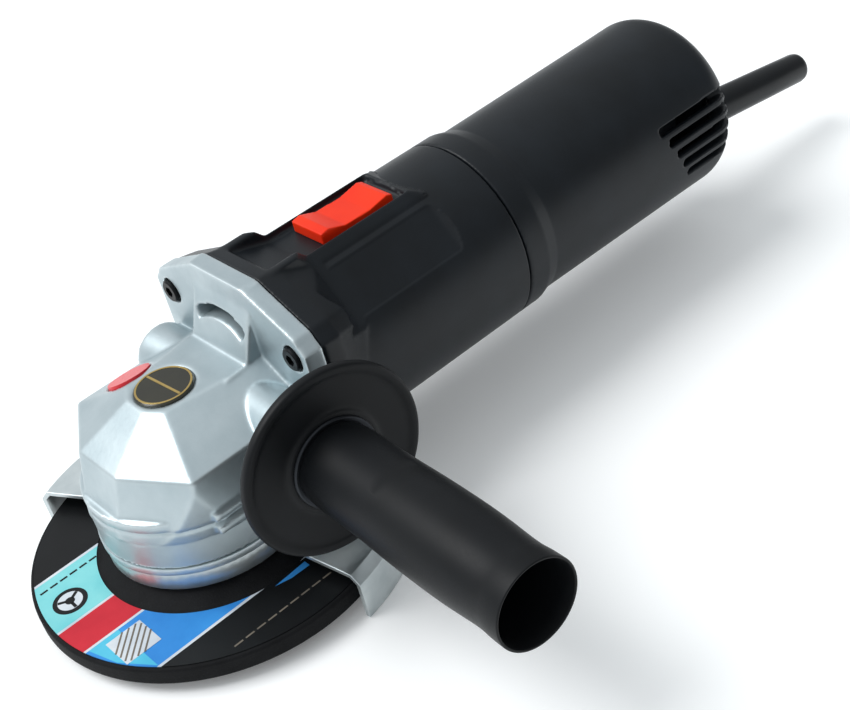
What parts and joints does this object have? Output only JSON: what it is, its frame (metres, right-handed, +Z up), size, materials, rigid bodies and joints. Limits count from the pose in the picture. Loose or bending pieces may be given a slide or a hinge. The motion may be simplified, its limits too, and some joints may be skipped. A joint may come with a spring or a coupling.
{
  "type": "angle grinder",
  "caption": "Corded angle grinder with a faceted cast gear head, round black motor body, slide switch, swivelling disc guard, grinding disc and hollow side handle with a hand shield.",
  "frame": {"origin": "centre of the spindle's outer end face", "axes": "+Z up along the spindle, +X along the motor axis from the gear head to the cord, side handle towards -Y"},
  "size_m": [0.3462, 0.1992, 0.0851],
  "materials": {
    "machined_steel": "turned and ground",
    "dark_steel": "black oxide",
    "abrasive": "resin-bonded grit",
    "label_paper": "printed",
    "cast_aluminium": "die cast, silver lacquer",
    "black_screws": "black oxide",
    "felt": "pressed felt",
    "badge_enamel": "gloss enamel",
    "button_plastic": "moulded",
    "guard_steel": "zinc plated",
    "lamination_steel": "stamped stack",
    "winding_copper": "enamelled copper",
    "fan_nylon": "moulded nylon",
    "brass": "stamped",
    "carbon": "pressed carbon",
    "rubber": "moulded",
    "body_plastic": "fine moulded texture",
    "handle_plastic": "moulded",
    "slider_plastic": "moulded"
  },
  "bodies": {
    "housing": {"gear_housing": "cast_aluminium", "bearing_retainer": "cast_aluminium", "retainer_screws": "black_screws", "lower_bearing": "machined_steel", "needle_bearing": "machined_steel", "felt_seal": "felt", "badge": "badge_enamel", "housing_screws": "black_screws", "stator_core": "lamination_steel", "field_coils": "winding_copper", "brush_holders": "brass", "carbon_brushes": "carbon", "brush_springs": "machined_steel", "bearing_plate": "cast_aluminium", "front_bearing": "machined_steel", "rear_bearing": "machined_steel", "bearing_sleeve": "rubber", "fan_baffle": "body_plastic", "motor_housing": "body_plastic", "switch_unit": "body_plastic", "capacitor": "fan_nylon", "rear_cover": "body_plastic", "cover_screws": "black_screws", "cord_boot": "rubber", "cord_clamp": "fan_nylon", "clamp_screws": "machined_steel", "handle_grip": "handle_plastic", "hand_shield": "handle_plastic", "handle_stud": "machined_steel"},
    "armature": {"armature_shaft": "machined_steel", "pinion_nut": "machined_steel", "armature_core": "lamination_steel", "armature_windings": "winding_copper", "commutator": "winding_copper", "cooling_fan": "fan_nylon", "drive_pinion": "machined_steel"},
    "spindle": {"spindle": "machined_steel", "grinding_disc": "abrasive", "disc_bush": "machined_steel", "disc_label": "label_paper", "disc_nut": "dark_steel", "inner_flange": "machined_steel", "crown_gear": "machined_steel", "gear_key": "machined_steel"},
    "lock": {"lock_button": "button_plastic", "lock_pin": "machined_steel", "lock_spring": "machined_steel"},
    "slider": {"switch_slider": "slider_plastic", "switch_link": "fan_nylon"},
    "guard": {"guard_shell": "guard_steel", "guard_band": "guard_steel", "guard_screw": "black_screws", "guard_nut": "machined_steel"}
  },
  "joints": [
    {"name": "armature_spin", "type": "hinge", "parent": "housing", "child": "armature", "pos_m": [0.083, 0, 0.047], "axis": [1, 0, 0], "continuous": true},
    {"name": "spindle_spin", "type": "hinge", "parent": "housing", "child": "spindle", "pos_m": [0, 0, 0.03], "axis": [0, 0, 1], "continuous": true},
    {"name": "lock_press", "type": "slide", "parent": "housing", "child": "lock", "axis": [0, 0, -1], "range_m": [0, 0.003], "stiffness_N_per_m": 300, "springref_m": -0.001, "deforming": ["lock_spring"]},
    {"name": "switch_slide", "type": "slide", "parent": "housing", "child": "slider", "axis": [-1, 0, 0], "range_m": [0, 0.006]},
    {"name": "guard_swivel", "type": "hinge", "parent": "housing", "child": "guard", "pos_m": [0, 0, 0.014], "axis": [0, 0, 1], "range_deg": [-45, 60]}
  ],
  "couplings": [
    {"joint": "spindle_spin", "follows": "armature_spin", "ratio": 0.33333}
  ]
}
